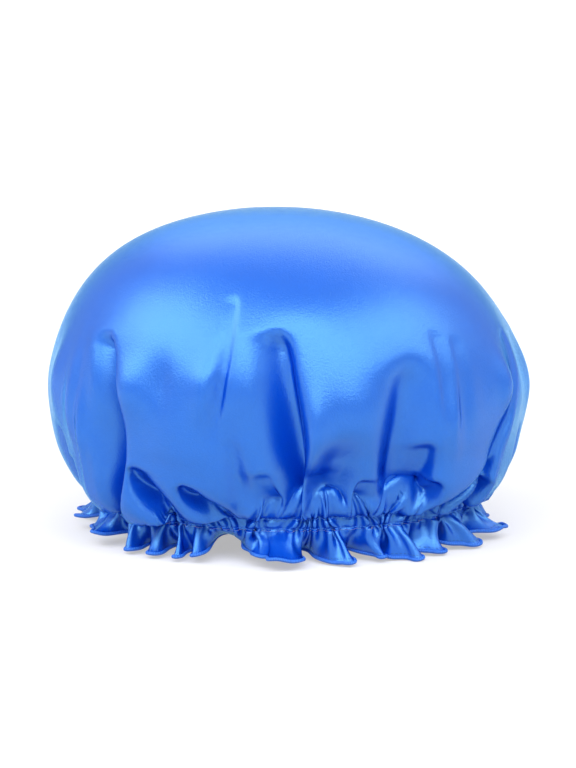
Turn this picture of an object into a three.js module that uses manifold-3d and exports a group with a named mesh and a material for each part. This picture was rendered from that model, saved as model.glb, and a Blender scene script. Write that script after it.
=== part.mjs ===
// A gathered satin hair bonnet, in millimetres, +Z up, front towards -Y. A round of satin is drawn in
// by an elastic in a sewn channel. Above the channel it puffs out as the crown, below it stands out as
// a frill with an overlocked hem. A lining hangs inside the crown. The origin is on the ground, under
// the middle of the bonnet, which stands on its hem.
import * as THREE from "three";
import { mergeVertices } from "three/addons/utils/BufferGeometryUtils.js";
import Module from "manifold-3d";

const wasm = await Module();
wasm.setup();

// Crown
const crownWidth = 280; // side to side, at the widest line
const crownDepth = 252; // front to back, at the widest line
const crownRise = 168; // lower edge of the channel to the top
const widestRise = 51; // lower edge of the channel to the widest line
const bellyTuck = 15; // degrees that the belly's outline runs on under itself to the channel
const domeFullness = 2.4; // exponent of the dome's outline, 2 being an ellipse
const crownLean = -10; // sideways lean of the top, towards -X
const satinThickness = 0.6;
const liningThickness = 0.5;

// Creases that run up the crown from the gathers, and the lobes that hang out between them
const creaseDepth = 18;
const creaseHalfWidth = 8; // from a crease to its shoulders, at the widest line
const shoulderSink = 2; // how far the cloth has turned in already at a crease's shoulders
const lobeHang = 8; // of the lobes over the channel
// Place round the bonnet as a share of a turn from +X, depth as a share of creaseDepth, reach as a share
// of the way from the channel to the top, and the hang of the lobe after it as a share of lobeHang. The
// first eight are the front's.
const creaseShares = [
  { place: 0.552, depth: 0.6, reach: 0.5, hang: 1.2 },
  { place: 0.614, depth: 1, reach: 0.65, hang: 1.15 },
  { place: 0.655, depth: 0.9, reach: 0.42, hang: 0.8 },
  { place: 0.695, depth: 0.85, reach: 0.37, hang: 0.3 },
  { place: 0.75, depth: 1, reach: 0.68, hang: 0.3 },
  { place: 0.79, depth: 1, reach: 0.52, hang: 0.5 },
  { place: 0.838, depth: 1, reach: 0.64, hang: 1 },
  { place: 0.908, depth: 0.9, reach: 0.32, hang: 1.2 },
  { place: 0.027, depth: 0.9, reach: 0.63, hang: 1.05 },
  { place: 0.121, depth: 0.85, reach: 0.58, hang: 0.9 },
  { place: 0.209, depth: 1, reach: 0.67, hang: 0.75 },
  { place: 0.254, depth: 0.7, reach: 0.5, hang: 0.75 },
  { place: 0.297, depth: 0.9, reach: 0.57, hang: 0.9 },
  { place: 0.397, depth: 1, reach: 0.65, hang: 1.1 },
  { place: 0.479, depth: 0.8, reach: 0.55, hang: 1.15 },
];
const pinchShare = 0.25; // of a crease's reach, where it has its full depth above the channel
const fullDepthShare = 0.5; // of a crease's reach, up to which it keeps its full depth
const hangPeakShare = 0.42; // of the way from the channel to the widest line, where a lobe hangs most
const shoulderHangShare = 0.6; // of a lobe's hang, at its edges

// Rings of the crown's mesh, as shares of each stretch of its outline
const bellyRingShares = [0.3, 0.65];
const domeRingShares = [0.2, 0.4, 0.59, 0.77, 0.91];

// Elastic and its channel
const bandWidth = 214; // side to side, at the middle of the elastic
const bandDepth = 194; // front to back
const elasticWidth = 6;
const elasticThickness = 1;
const lapLength = 12; // where the two ends of the elastic lie on each other
const lapStep = 14; // the stretch in which one end steps in to pass the other
const lapPlaceShare = 0.25; // round the bonnet, at the back
const channelMargin = 1; // cloth above and below the elastic
const tapeThickness = 0.5;
const tackThread = 0.5;
const tackThickness = 0.4;
const tackLegs = 6;
const tackMargin = 1; // from the tack to the elastic's edges
const clearance = 0.3;

// Stitch rows
const threadDiameter = 0.5;
const threadSides = 5;
const stitchInset = 1.1; // from a channel's edge to its row of stitches

// Frill and hem
const frillLength = 18; // cloth from the channel to the overlock
const frillThickness = 0.6;
const flutes = 26;
const fluteSteps = 8;
const frillRows = 2;
const gatherSwing = 1.4; // of the cloth in and out, at the top of the frill
const fluteOverhang = 1.3; // sideways swell of a flute's outer and inner ends, at the hem
const frillTilt = 5; // degrees outwards on average
const fluteTilt = 24; // degrees more or less at a flute's ends
const fluteWarpShares = [
  { waves: 3, start: 0.1, swing: 0.008 },
  { waves: 7, start: 0.45, swing: 0.004 },
];
const tiltSwingShares = [
  { waves: 5, start: 0.2, swing: 0.22 },
  { waves: 9, start: 0.6, swing: 0.16 },
];
const hemDiameter = 1.4;
const hemSides = 4;
const flatCut = 0.5; // how deep the hem is pressed flat where it stands
const cutOverrun = 10;

// Worked out from the sizes above
const channelHeight = elasticWidth + 2 * channelMargin;
const satinOffset = elasticThickness / 2 + clearance; // from the elastic's middle to the satin's inner face
const elasticInnerRoom = elasticThickness + clearance; // taken by the lapped end
const tapeOffset = elasticThickness / 2 + elasticInnerRoom + clearance + tackThickness + clearance;
const turn = 2 * Math.PI;
const quarter = Math.PI / 2;
const tuck = THREE.MathUtils.degToRad(bellyTuck);

const material = (name, color, roughness) =>
  Object.assign(new THREE.MeshStandardMaterial({ color, roughness, metalness: 0 }), { name });
const satin = material("satin", 0x2f7bee, 0.35);
const lining = material("lining", 0x2a6bd8, 0.5);
const elastic = material("elastic", 0xe8e8e4, 0.8);
const thread = material("thread", 0x3a86f2, 0.55);

const smooth = (x) => {
  const t = Math.min(Math.max(x, 0), 1);
  return t * t * (3 - 2 * t);
};

// A point on an upright ellipse ring, at an offset outwards from the middle of the elastic
function ringPoint(place, offset, height) {
  const angle = turn * place;
  return new THREE.Vector3(
    (bandWidth / 2 + offset) * Math.cos(angle),
    (bandDepth / 2 + offset) * Math.sin(angle),
    height,
  );
}

// The crown's outer face without creases. Run is 0 to 1 up the channel, to 2 at the widest line and to
// 3 at the top. The belly is a quarter ellipse that runs on a little under itself, and the dome a
// quarter of an outline between an ellipse and a rounded box.
function crownBase(place, run) {
  const angle = turn * place;
  const low = satinOffset + satinThickness;
  let swell = 0;
  let shrink = 1;
  let lean = 0;
  let height = channelHeight * Math.min(run, 1);
  if (run > 1 && run <= 2) {
    const a = (quarter + tuck) * (run - 1) - tuck;
    swell = (Math.sin(a) + Math.sin(tuck)) / (1 + Math.sin(tuck));
    height = widestRise - ((widestRise - channelHeight) * Math.cos(a)) / Math.cos(tuck);
  } else if (run > 2) {
    const a = quarter * (run - 2);
    const power = 2 / domeFullness;
    swell = 1;
    shrink = Math.max(Math.cos(a), 0) ** power;
    height = widestRise + (crownRise - widestRise) * Math.sin(a) ** power;
    lean = crownLean * Math.sin(a) ** (2 * power);
  }
  const ringX = bandWidth / 2 + low;
  const ringY = bandDepth / 2 + low;
  return new THREE.Vector3(
    (ringX + (crownWidth / 2 - ringX) * swell) * shrink * Math.cos(angle) + lean,
    (ringY + (crownDepth / 2 - ringY) * swell) * shrink * Math.sin(angle),
    height,
  );
}

// The outward normal of a surface given as a function of two parameters, from small steps along both
function normalOf(surface, u, v) {
  const step = 1e-4;
  const alongU = surface(u + step, v).sub(surface(u - step, v));
  const alongV = surface(u, v + step).sub(surface(u, v - step));
  return alongU.cross(alongV).normalize();
}

// How far a crease has sunk at a run of the outline, from 0 at the channel to full and back to 0 at
// its reach
function creaseFade(run, reach) {
  const along = (run - 1) / (2 * reach);
  return smooth(along / pinchShare) * (1 - smooth((along - fullDepthShare) / (1 - fullDepthShare)));
}

// How far a lobe hangs out at a run of the outline, from 0 at the channel to full and back to 0 at the
// widest line
function hangFade(run) {
  const along = run - 1;
  return smooth(along / hangPeakShare) * (1 - smooth((along - hangPeakShare) / (1 - hangPeakShare)));
}

// The places round the bonnet where the crown's mesh has points: each crease, its two shoulders and
// the lobe between
const shoulderTurn = (2 * creaseHalfWidth) / (Math.PI * (crownWidth + crownDepth));
const crownPlaces = creaseShares.flatMap((crease, i) => {
  const next = creaseShares[(i + 1) % creaseShares.length];
  const gap = (next.place - crease.place + 1) % 1;
  const hang = lobeHang * crease.hang;
  const shoulder = (side) => ({
    sink: shoulderSink * side.depth,
    reach: side.reach,
    hang: hang * shoulderHangShare,
  });
  return [
    { place: crease.place, sink: creaseDepth * crease.depth, reach: crease.reach, hang: 0 },
    { place: crease.place + shoulderTurn, ...shoulder(crease) },
    { place: crease.place + gap / 2, sink: 0, reach: 1, hang },
    { place: crease.place + gap - shoulderTurn, ...shoulder(next) },
  ];
});

function crownPoint(sample, run, inset) {
  const out = normalOf(crownBase, sample.place, run);
  const rise = sample.hang * hangFade(run) - sample.sink * creaseFade(run, sample.reach);
  return crownBase(sample.place, run).addScaledVector(out, rise - inset);
}

// A closed solid from loops of points: loops[i][k] is point k of the closed section at step i. Steps
// run round the bonnet, and a section's points run up its outer side and down its inner side. A round
// solid joins its last section to its first, and an open one is capped.
function sweptSolid(loops, isRound) {
  const sides = loops[0].length;
  const points = loops.flat();
  const faces = [];
  const steps = isRound ? loops.length : loops.length - 1;
  for (let i = 0; i < steps; i++) {
    const j = (i + 1) % loops.length;
    for (let k = 0; k < sides; k++) {
      const m = (k + 1) % sides;
      const [a, b, c, d] = [i * sides + k, j * sides + k, j * sides + m, i * sides + m];
      if (k < sides / 2) faces.push(a, b, c, a, c, d);
      else faces.push(a, b, d, b, c, d);
    }
  }
  if (!isRound) {
    const last = (loops.length - 1) * sides;
    for (let k = 1; k < sides - 1; k++) {
      faces.push(0, k, k + 1);
      faces.push(last, last + k + 1, last + k);
    }
  }
  return geometryOf(points, faces);
}

// A closed dome with a wall: rings of the outer face from the bottom up and its top point, the same of
// the inner face
function domeSolid(outer, outerTop, inner, innerTop) {
  const count = outer[0].length;
  const points = [...outer.flat(), outerTop, ...inner.flat(), innerTop];
  const innerStart = outer.length * count + 1;
  const faces = [];
  for (let i = 0; i < count; i++) {
    const j = (i + 1) % count;
    for (let r = 0; r < outer.length - 1; r++) {
      const [a, b, c, d] = [r * count + i, r * count + j, (r + 1) * count + j, (r + 1) * count + i];
      faces.push(a, b, c, a, c, d);
      const [e, f, g, h] = [a, b, c, d].map((corner) => innerStart + corner);
      faces.push(e, g, f, e, h, g);
    }
    const lastRing = (outer.length - 1) * count;
    faces.push(lastRing + i, lastRing + j, innerStart - 1);
    faces.push(innerStart + lastRing + i, points.length - 1, innerStart + lastRing + j);
    faces.push(i, innerStart + i, innerStart + j, i, innerStart + j, j);
  }
  return geometryOf(points, faces);
}

function geometryOf(points, faces) {
  const geometry = new THREE.BufferGeometry().setFromPoints(points);
  geometry.setIndex(faces);
  return geometry;
}

// A cloth of the crown between two insets from the crown's outer face, from a lowest run up to the top
function crownCloth(lowestRuns, inset, thickness) {
  const runs = [
    ...lowestRuns,
    ...bellyRingShares.map((share) => 1 + share),
    2,
    ...domeRingShares.map((share) => 2 + share),
  ];
  const ringsAt = (depth) => runs.map((run) => crownPlaces.map((sample) => crownPoint(sample, run, depth)));
  const topAt = (depth) => new THREE.Vector3(crownLean, 0, crownRise - depth);
  return domeSolid(ringsAt(inset), topAt(inset), ringsAt(inset + thickness), topAt(inset + thickness));
}

// The narrow cloth strip inside the channel. Its edges lie against the satin, and it bows in round the
// elastic.
function tapeSection(place) {
  const edge = satinOffset - clearance;
  const bow = -tapeOffset;
  const top = channelHeight - clearance;
  const bowTop = channelHeight - channelMargin + clearance;
  const face = (depth) => [
    ringPoint(place, edge - depth, channelHeight - top),
    ringPoint(place, bow - depth, channelHeight - bowTop),
    ringPoint(place, bow - depth, bowTop),
    ringPoint(place, edge - depth, top),
  ];
  return [...face(0), ...face(tapeThickness).reverse()];
}

// The elastic is one strip whose last stretch steps in behind its own start and laps it.
const ringLength = (Math.PI * (bandWidth + bandDepth)) / 2;
const lapTurn = lapLength / ringLength;
const stepTurn = lapStep / ringLength;

function elasticSection(place, stepIn) {
  const faceOut = elasticThickness / 2 - stepIn * elasticInnerRoom;
  const faceIn = faceOut - elasticThickness;
  const low = channelMargin;
  const high = channelMargin + elasticWidth;
  return [
    ringPoint(place, faceOut, low),
    ringPoint(place, faceOut, high),
    ringPoint(place, faceIn, high),
    ringPoint(place, faceIn, low),
  ];
}

function elasticSolid() {
  const start = lapPlaceShare - lapTurn / 2;
  const finish = start + 1 + lapTurn;
  const lapStart = start + 1;
  const inner = crownPlaces
    .map(({ place }) => start + ((((place - start) % 1) + 1) % 1))
    .filter((place) => place > start && place < lapStart - stepTurn)
    .sort((a, b) => a - b);
  const stepping = [lapStart - stepTurn, lapStart - stepTurn / 2, lapStart, lapStart + lapTurn / 2];
  const places = [start, ...inner, ...stepping, finish];
  return sweptSolid(
    places.map((place) => elasticSection(place, smooth((place - lapStart + stepTurn) / stepTurn))),
    false,
  );
}

// The zigzag tack that joins the elastic's lapped ends, on their inner face
function tackSolid() {
  const legRun = lapLength / tackLegs;
  const legRise = elasticWidth - 2 * tackMargin - tackThread;
  const halfHeight = ((tackThread / 2) * Math.hypot(legRun, legRise)) / legRun;
  const side = (shift) =>
    Array.from(
      { length: tackLegs + 1 },
      (_, i) =>
        new THREE.Vector2((i - tackLegs / 2) * legRun, (i % 2 ? legRise / 2 : -legRise / 2) + shift),
    );
  const shape = new THREE.Shape([...side(-halfHeight), ...side(halfHeight).reverse()]);
  return new THREE.ExtrudeGeometry(shape, { depth: tackThickness, bevelEnabled: false });
}

// How far the tack's ends lie inside the ring's middle line there, because the tack is straight and
// the ring is round
const backRadius = bandWidth ** 2 / (2 * bandDepth);
const tackSag = (lapLength / 2) ** 2 / (2 * backRadius);
const tackFace = bandDepth / 2 - elasticThickness / 2 - elasticInnerRoom - clearance - tackSag;

// A thread laid round the outside of the channel at a height
function stitchRow(height) {
  const middle = satinOffset + satinThickness + clearance + threadDiameter / 2;
  return sweptSolid(
    crownPlaces.map(({ place }) =>
      Array.from({ length: threadSides }, (_, k) => {
        const a = (turn * k) / threadSides;
        return ringPoint(
          place,
          middle + (threadDiameter / 2) * Math.cos(a),
          height + (threadDiameter / 2) * Math.sin(a),
        );
      }),
    ),
    true,
  );
}

// The sum of a few waves round the bonnet, at a share of a turn
const wavesAt = (waves, x) =>
  waves.reduce((sum, w) => sum + w.swing * Math.sin(turn * (w.waves * x + w.start)), 0);

// The middle of the frill's cloth. The cloth lines run straight from the gathers at a tilt that swings
// out and in with the flutes, so the frill keeps its length, and a sideways swing swells the ends of
// each flute.
function frillPoint(x, down) {
  const phase = turn * flutes * x;
  const place = x + wavesAt(fluteWarpShares, x);
  const angle = turn * place;
  const swing = 1 + wavesAt(tiltSwingShares, x);
  const tilt = THREE.MathUtils.degToRad(frillTilt + fluteTilt * swing * Math.sin(phase));
  const out = new THREE.Vector3(Math.cos(angle) / bandWidth, Math.sin(angle) / bandDepth, 0).normalize();
  const aside = new THREE.Vector3(-out.y, out.x, 0);
  const length = down * frillLength;
  return ringPoint(place, satinOffset + satinThickness / 2, -clearance)
    .addScaledVector(out, gatherSwing * Math.sin(phase) + length * Math.sin(tilt))
    .addScaledVector(aside, -fluteOverhang * down * Math.sin(2 * phase))
    .add(new THREE.Vector3(0, 0, -length * Math.cos(tilt)));
}

const frillOut = (x, down) => normalOf(frillPoint, x, down).negate();

const hemSteps = flutes * fluteSteps;
const frillPlaces = Array.from({ length: hemSteps }, (_, i) => i / hemSteps);

function frillSolid() {
  const downs = Array.from({ length: frillRows + 1 }, (_, i) => i / frillRows);
  return sweptSolid(
    frillPlaces.map((x) => {
      const face = (side) =>
        downs.map((down) =>
          frillPoint(x, down).addScaledVector(frillOut(x, down), (side * frillThickness) / 2),
        );
      return [...face(-1), ...face(1).reverse()];
    }),
    true,
  );
}

// The overlock thread along the hem, just past the frill's edge
function hemSolid() {
  const down = 1 + (clearance + hemDiameter / 2) / frillLength;
  return sweptSolid(
    frillPlaces.map((x) => {
      const middle = frillPoint(x, down);
      const across = frillOut(x, down);
      const along = middle.clone().sub(frillPoint(x, 0)).normalize();
      return Array.from({ length: hemSides }, (_, k) => {
        const a = (turn * k) / hemSides;
        return middle
          .clone()
          .addScaledVector(along, (hemDiameter / 2) * Math.cos(a))
          .addScaledVector(across, (hemDiameter / 2) * Math.sin(a));
      });
    }),
    true,
  );
}

function toManifold(geometry) {
  const bare = geometry.clone();
  bare.deleteAttribute("normal");
  bare.deleteAttribute("uv");
  const merged = mergeVertices(bare);
  return new wasm.Manifold(
    new wasm.Mesh({
      numProp: 3,
      vertProperties: merged.attributes.position.array,
      triVerts: new Uint32Array(merged.index.array),
    }),
  );
}

function fromManifold(solid) {
  const mesh = solid.getMesh();
  return new THREE.BufferGeometry()
    .setAttribute("position", new THREE.BufferAttribute(mesh.vertProperties, 3))
    .setIndex(new THREE.BufferAttribute(mesh.triVerts, 1));
}

// The hem pressed flat at the ground, and how far the ground lies below the channel's lower edge
const looseHem = hemSolid();
looseHem.computeBoundingBox();
const ground = looseHem.boundingBox.min.z + flatCut;
const underGround = new THREE.BoxGeometry(
  crownWidth + cutOverrun,
  crownDepth + cutOverrun,
  cutOverrun,
).translate(0, 0, ground - cutOverrun / 2);
const pressedHem = fromManifold(toManifold(looseHem).subtract(toManifold(underGround)));

const bonnet = new THREE.Group();
bonnet.position.z = -ground;

function piece(name, geometry, look) {
  const mesh = new THREE.Mesh(geometry, look);
  mesh.name = name;
  bonnet.add(mesh);
  return mesh;
}

piece("crown_satin", crownCloth([0, 1], 0, satinThickness), satin);
piece("crown_lining", crownCloth([1], satinThickness + clearance, liningThickness), lining);
piece("frill", frillSolid(), satin);
piece("channel_tape", sweptSolid(crownPlaces.map(({ place }) => tapeSection(place)), true), satin);
piece("elastic_band", elasticSolid(), elastic);
const tack = piece("elastic_lap_tack", tackSolid(), thread);
tack.rotation.set(quarter, 0, 0);
tack.position.set(0, tackFace, channelMargin + elasticWidth / 2);
piece("channel_stitch_upper", stitchRow(channelHeight - stitchInset), thread);
piece("channel_stitch_lower", stitchRow(stitchInset), thread);
piece("hem_overlock", pressedHem, thread);

const part = new THREE.Group();
part.add(bonnet);

export default part;
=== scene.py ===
import math

import bpy
import numpy as np
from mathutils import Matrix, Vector


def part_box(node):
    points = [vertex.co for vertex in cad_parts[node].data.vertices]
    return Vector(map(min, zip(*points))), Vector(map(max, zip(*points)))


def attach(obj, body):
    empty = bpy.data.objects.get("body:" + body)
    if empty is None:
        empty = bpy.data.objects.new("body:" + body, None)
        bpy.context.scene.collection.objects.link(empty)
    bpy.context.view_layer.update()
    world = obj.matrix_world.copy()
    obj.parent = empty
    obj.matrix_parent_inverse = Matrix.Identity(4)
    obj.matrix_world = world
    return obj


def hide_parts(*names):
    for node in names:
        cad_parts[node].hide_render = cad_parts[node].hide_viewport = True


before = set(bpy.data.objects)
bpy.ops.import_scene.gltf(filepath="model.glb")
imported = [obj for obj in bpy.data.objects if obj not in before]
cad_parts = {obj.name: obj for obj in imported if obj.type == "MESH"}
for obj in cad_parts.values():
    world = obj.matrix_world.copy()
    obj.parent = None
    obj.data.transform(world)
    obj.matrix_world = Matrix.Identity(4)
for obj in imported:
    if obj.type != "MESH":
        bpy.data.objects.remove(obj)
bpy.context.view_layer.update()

scene = bpy.context.scene

# Lengths in the shape code are in millimetres, heights from the channel's lower edge.
MM = 0.001
TURN = 2 * math.pi
ELASTIC_LIFT = 1.0  # the elastic's lower edge over the channel's
channel_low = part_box("elastic_band")[0].z / MM - ELASTIC_LIFT

# Camera
PICTURE_HIGH = 768
MM_PER_PIXEL = 0.5858
SENSOR = 36
DISTANCE = 2.5
ELEVATION = math.radians(10.2)
AIM = Vector((0, 0, 0.086))

camera_data = bpy.data.cameras.new("camera")
camera = bpy.data.objects.new("camera", camera_data)
scene.collection.objects.link(camera)
scene.camera = camera
camera_data.sensor_width = SENSOR
camera_data.lens = SENSOR * DISTANCE / (PICTURE_HIGH * MM_PER_PIXEL * MM)
back = Vector((0, -math.cos(ELEVATION), math.sin(ELEVATION)))
camera.location = AIM + back * DISTANCE
camera.rotation_euler = (-back).to_track_quat("-Z", "Y").to_euler()
camera_data.clip_start, camera_data.clip_end = 0.1, 50

# The crown's plain outline
CROWN_WIDE, CROWN_DEEP = 280.0, 252.0
RISE, WIDEST, CHANNEL = 168.0, 51.0, 8.0
FULLNESS, LEAN, TUCK = 2.4, -10.0, math.radians(15)
BAND_WIDE, BAND_DEEP = 214.0, 194.0
BAND_OFFSET = 1.4  # of the satin from the band's ring
FRILL = 22.5
NEAR = 0.5  # to either side, where a slope is taken


def smooth(x):
    t = np.clip(x, 0, 1)
    return t * t * (3 - 2 * t)


def outline_table(count=2000):
    """The outline by cloth distance s from the top: a dome z = w + (r - w) sin(a)^(2/f), radius
    cos(a)^(2/f), then a belly that is a quarter ellipse run on by the tuck angle. Rows: s, x and y
    semi-axes, height, lean."""
    t = np.linspace(0, 1, count)
    a = (1 - t) * math.pi / 2
    p = 2 / FULLNESS
    b = (math.pi / 2 + TUCK) * (1 - t) - TUCK
    shrink = np.concatenate([np.maximum(np.cos(a), 0) ** p, np.ones(count - 1)])
    swell = np.concatenate([np.ones(count), ((np.sin(b) + math.sin(TUCK)) / (1 + math.sin(TUCK)))[1:]])
    height = np.concatenate(
        [
            WIDEST + (RISE - WIDEST) * np.sin(a) ** p,
            (WIDEST - (WIDEST - CHANNEL) * np.cos(b) / math.cos(TUCK))[1:],
        ]
    )
    lean = np.concatenate([LEAN * np.sin(a) ** (2 * p), np.zeros(count - 1)])
    ring_x, ring_y = BAND_WIDE / 2 + BAND_OFFSET, BAND_DEEP / 2 + BAND_OFFSET
    x = shrink * (ring_x + (CROWN_WIDE / 2 - ring_x) * swell)
    y = shrink * (ring_y + (CROWN_DEEP / 2 - ring_y) * swell)
    r = (x + y) / 2
    s = np.concatenate([[0], np.cumsum(np.hypot(np.diff(r), np.diff(height)))])
    return np.stack([s, x, y, height, lean])


OUTLINE = outline_table()
S_BAND = OUTLINE[0, -1]  # cloth from the top to the channel
S_FRILL = S_BAND + CHANNEL


def outline(s):
    """Semi-axes, height and lean of the plain crown and channel at cloth distance s."""
    s = np.asarray(s, float)
    x, y, z, lean = (np.interp(s, OUTLINE[0], row) for row in OUTLINE[1:])
    return x, y, z - np.clip(s - S_BAND, 0, None), lean


def plain(s, angle):
    """Points, outward normals and sideways directions of the plain crown at cloth distance s and
    azimuth angle."""
    s, angle = np.broadcast_arrays(np.asarray(s, float), np.asarray(angle, float))
    x, y, z, lean = outline(s)
    x1, y1, z1, _ = outline(s + NEAR)
    x0, y0, z0, _ = outline(np.maximum(s - NEAR, 0))
    point = np.stack([x * np.cos(angle) + lean, y * np.sin(angle), z], -1)
    out = np.stack([np.cos(angle) * y, np.sin(angle) * x, 0 * x], -1)
    out /= np.maximum(np.linalg.norm(out, axis=-1, keepdims=True), 1e-9)
    dr, dz = (x1 + y1 - x0 - y0) / 2, z1 - z0
    size = np.hypot(dr, dz)
    normal = out * (-dz / size)[..., None] + np.stack([0 * x, 0 * x, dr / size], -1)
    aside = np.stack([-out[..., 1], out[..., 0], 0 * x], -1)
    return point, normal, aside


# Creases
# Azimuth as a share of a turn from +X at the crease's upper end and at the band, how far it bows aside
# between them in thousandths of a turn, depth in mm, cloth distance of its upper end and of its lower
# end, half width in mm, and how far the valley runs under its sharp edge, as a share of its depth
# (+ towards +azimuth).
CREASES = np.array([
    [0.500, 0.520, 0, 10, 206, 300, 6, 0.3],
    [0.548, 0.556, 0, 10, 202, 300, 6, 0.3],
    [0.564, 0.574, 0, 10, 220, 300, 5, 0.4],
    [0.579, 0.616, 8, 4, 140, 240, 8, 0.0],
    [0.606, 0.606, 17, 22, 142, 300, 6, 0.12],
    [0.639, 0.659, 0, 17, 217, 300, 7, -0.5],
    [0.678, 0.701, 0, 16, 225, 300, 7, -0.5],
    [0.712, 0.693, 0, 6, 112, 204, 3.5, 0.1],
    [0.712, 0.716, 0, 5, 196, 268, 4, 0.0],
    [0.702, 0.722, 0, 5, 158, 262, 6, 0.0],
    [0.731, 0.737, 0, 13, 217, 300, 6, 0.3],
    [0.745, 0.752, 0, 26, 134, 300, 8, 0.3],
    [0.764, 0.773, 0, 14, 208, 300, 8, 0.0],
    [0.792, 0.789, -7, 20, 190, 300, 10, 0.0],
    [0.805, 0.808, 0, 15, 224, 300, 6, -0.4],
    [0.840, 0.834, -9, 19, 150, 300, 9, 0.0],
    [0.847, 0.838, 0, 19, 202, 300, 8, 0.4],
    [0.857, 0.845, 0, 16, 226, 300, 7, 0.5],
    [0.867, 0.852, 0, 5, 138, 204, 6, -0.1],
    [0.884, 0.864, 0, 5, 143, 210, 6, -0.1],
    [0.917, 0.867, 0, 14, 220, 300, 7, 0.5],
    [0.917, 0.904, 0, 17, 233, 300, 7, 0.5],
    [0.956, 0.918, -9, 6, 146, 300, 6, 0.3],
    [0.975, 0.962, 0, 11, 206, 300, 5, -0.3],
    [0.024, 0.030, 4, 16, 150, 300, 7, 0.4],
    [0.072, 0.066, 0, 11, 206, 300, 5, 0.3],
    [0.096, 0.104, 0, 12, 226, 300, 6, -0.4],
    [0.118, 0.124, -4, 15, 166, 300, 7, -0.4],
    [0.158, 0.164, 0, 12, 216, 300, 6, 0.4],
    [0.186, 0.184, 3, 5, 120, 210, 7, 0.0],
    [0.212, 0.206, 6, 22, 136, 300, 8, 0.4],
    [0.232, 0.242, 0, 12, 226, 300, 6, -0.4],
    [0.258, 0.254, 0, 13, 204, 300, 6, -0.3],
    [0.292, 0.300, 5, 17, 172, 300, 7, 0.4],
    [0.324, 0.318, 0, 12, 222, 300, 6, 0.4],
    [0.346, 0.342, 0, 12, 206, 300, 5, -0.2],
    [0.374, 0.370, 0, 5, 128, 214, 7, 0.0],
    [0.392, 0.400, -6, 20, 142, 300, 8, -0.4],
    [0.420, 0.428, 0, 11, 224, 300, 6, 0.4],
    [0.446, 0.442, 0, 12, 204, 300, 5, 0.2],
    [0.474, 0.482, 4, 14, 178, 300, 7, 0.4],
])
# Azimuth as a share of a turn, and how far in mm the cloth hangs out over the channel there
POUCHES = np.array([
    [0.02, 0],
    [0.08, 5],
    [0.25, 6],
    [0.42, 5],
    [0.48, 0],
    [0.54, 1],
    [0.58, 6],
    [0.62, 10],
    [0.67, 7],
    [0.70, 4],
    [0.72, 2.5],
    [0.78, 2.5],
    [0.81, 4],
    [0.86, 8],
    [0.91, 7],
    [0.95, 2],
])
# Soft swells and hollows between the creases: azimuth as a share of a turn, cloth distance, height out
# of the crown, half width and half length in mm
SWELLS = np.array([
    [0.548, 176, 3.0, 10, 22],
    [0.576, 190, 2.5, 7, 26],
    [0.590, 204, 3.5, 4, 30],
    [0.600, 196, 4.5, 8, 28],
    [0.634, 174, 5.0, 14, 17],
    [0.662, 168, -3.5, 9, 16],
    [0.697, 172, 5.5, 9, 16],
    [0.724, 170, 2.0, 8, 18],
    [0.766, 196, 6.0, 8, 22],
    [0.800, 186, 5.5, 24, 26],
    [0.856, 190, 4.0, 6, 22],
    [0.868, 192, 4.0, 6, 20],
    [0.900, 176, -2.5, 12, 22],
    [0.930, 184, 5.0, 8, 20],
    [0.978, 172, -2.5, 13, 20],
    [0.006, 186, 4.0, 10, 22],
    [0.050, 176, 3.0, 12, 22],
    [0.092, 180, -2.5, 12, 20],
    [0.138, 188, 4.0, 11, 22],
    [0.174, 170, -2.5, 12, 20],
    [0.196, 184, 3.5, 9, 20],
    [0.236, 176, 3.5, 12, 22],
    [0.276, 168, -2.5, 12, 20],
    [0.310, 186, 4.0, 10, 22],
    [0.358, 178, 3.0, 12, 20],
    [0.408, 186, 4.0, 10, 22],
    [0.434, 172, -2.5, 12, 20],
    [0.462, 188, 3.5, 10, 22],
])
# How a crease runs: its places as shares of its run, and its upper end's lengths in half widths
BOW_UNIT = 0.001  # of a turn
ROUND_END = 2.4  # the length over which it widens
NECK, NECK_START = 0.4, 1.8  # its width at the band, and how early it narrows
SHARP_SIDE, SOFT_SIDE = (0.8, 4.0), (1.15, 2.6)  # half width and power n of its two sides
QUICK_START, SLOW_START = 0.9, 2.2  # the length over which it sinks, undercut and soft
SHALLOW, SHALLOW_GROWTH = 0.12, 0.01  # share of its depth high up, and more for each mm of depth
FULL_RUN, PLACED_RUN = 1.5, 1.1  # how much before the band it is deep, and in its place
FADE, BAND_FADE = 40, 12  # mm over which it ends, and before the band
DEEPEST = 32  # mm, of all creases together
POUCH_START, POUCH_RISE, POUCH_END = 212, 36, 251  # cloth distances in mm
FOLD_HOLD, FOLD_SINK = 0.8, 8  # share of a pouch or swell that a fold of this depth in mm takes away


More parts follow.
